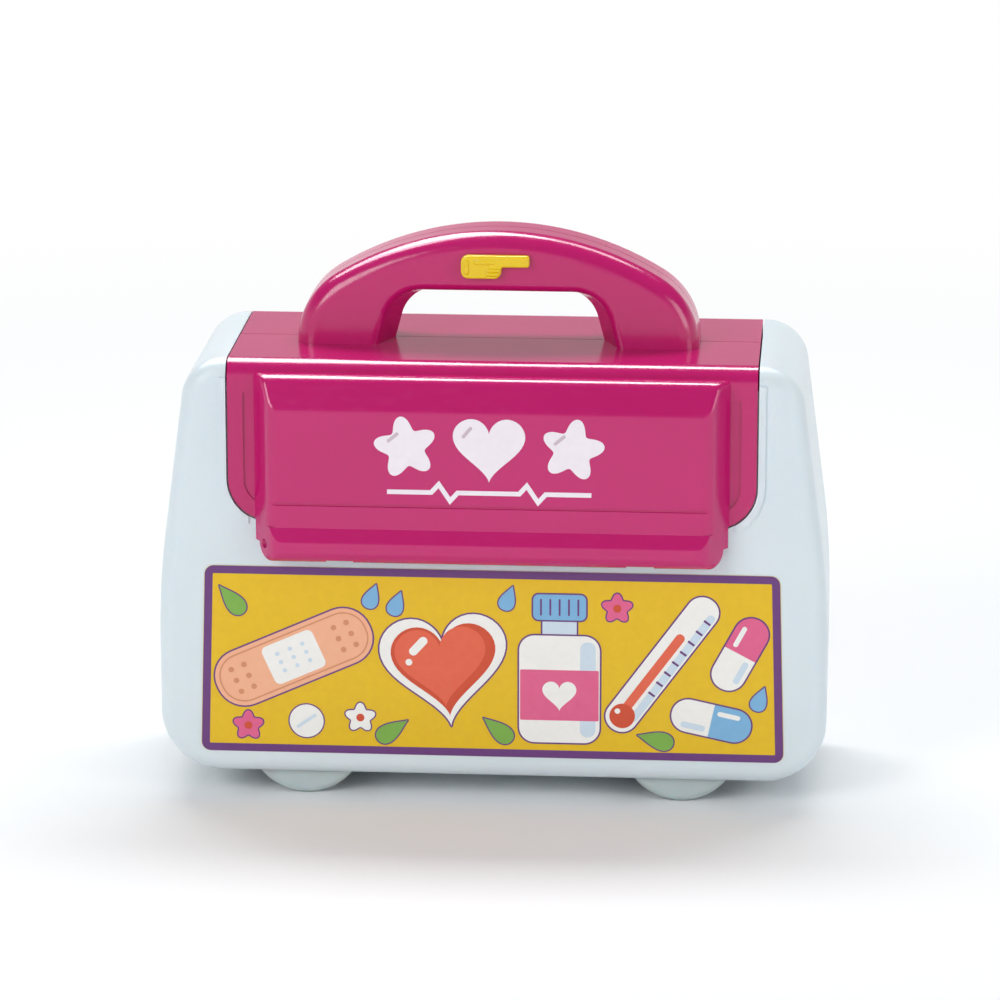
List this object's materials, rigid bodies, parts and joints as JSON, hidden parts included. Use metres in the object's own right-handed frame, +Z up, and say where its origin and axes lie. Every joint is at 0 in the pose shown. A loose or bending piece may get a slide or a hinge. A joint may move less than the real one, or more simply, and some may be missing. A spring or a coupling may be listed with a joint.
{
  "type": "toy doctor case",
  "caption": "Wheeled toy doctor case with a white body, pink fold-down flaps that share a split carrying handle, and a yellow slide latch.",
  "frame": {"origin": "on the floor below the middle of the case, where the wheels stand", "axes": "+X across the width to the right as seen from the front, +Y from the front to the back, +Z up"},
  "size_m": [0.216, 0.099, 0.183],
  "materials": {
    "white_shell": "soft gloss white polypropylene",
    "pink_shell": "glossy magenta polystyrene",
    "yellow_latch": "glossy yellow plastic",
    "white_trim": "satin white plastic",
    "wheel": "milky translucent plastic",
    "steel": "plain zinc plated steel",
    "label": "glossy printed sticker"
  },
  "bodies": {
    "body": {"front_shell": "white_shell", "rear_shell": "white_shell", "shell_screws": "steel", "front_label": "label"},
    "front_flap": {"front_flap": "pink_shell", "front_hinge_pin": "steel", "latch_retainer": "white_trim", "latch_retainer_screws": "steel"},
    "rear_flap": {"rear_flap": "pink_shell", "rear_hinge_pin": "steel", "latch_keeper": "yellow_latch", "latch_keeper_screws": "steel"},
    "latch": {"latch_knob": "yellow_latch", "latch_bolt": "yellow_latch"},
    "left_wheels": {"left_axle": "steel", "left_axle_caps": "white_trim", "front_left_wheel": "wheel", "rear_left_wheel": "wheel"},
    "right_wheels": {"right_axle": "steel", "right_axle_caps": "white_trim", "front_right_wheel": "wheel", "rear_right_wheel": "wheel"}
  },
  "joints": [
    {"name": "front_flap_hinge", "type": "hinge", "parent": "body", "child": "front_flap", "pos_m": [0, -0.044, 0.0875], "axis": [1, 0, 0], "range_deg": [0, 95]},
    {"name": "rear_flap_hinge", "type": "hinge", "parent": "body", "child": "rear_flap", "pos_m": [0, 0.044, 0.0875], "axis": [-1, 0, 0], "range_deg": [0, 95]},
    {"name": "latch_slide", "type": "slide", "parent": "front_flap", "child": "latch", "axis": [1, 0, 0], "range_m": [0, 0.007]},
    {"name": "left_wheels_spin", "type": "hinge", "parent": "body", "child": "left_wheels", "pos_m": [-0.061, 0, 0.019], "axis": [0, 1, 0], "continuous": true},
    {"name": "right_wheels_spin", "type": "hinge", "parent": "body", "child": "right_wheels", "pos_m": [0.061, 0, 0.019], "axis": [0, 1, 0], "continuous": true}
  ]
}
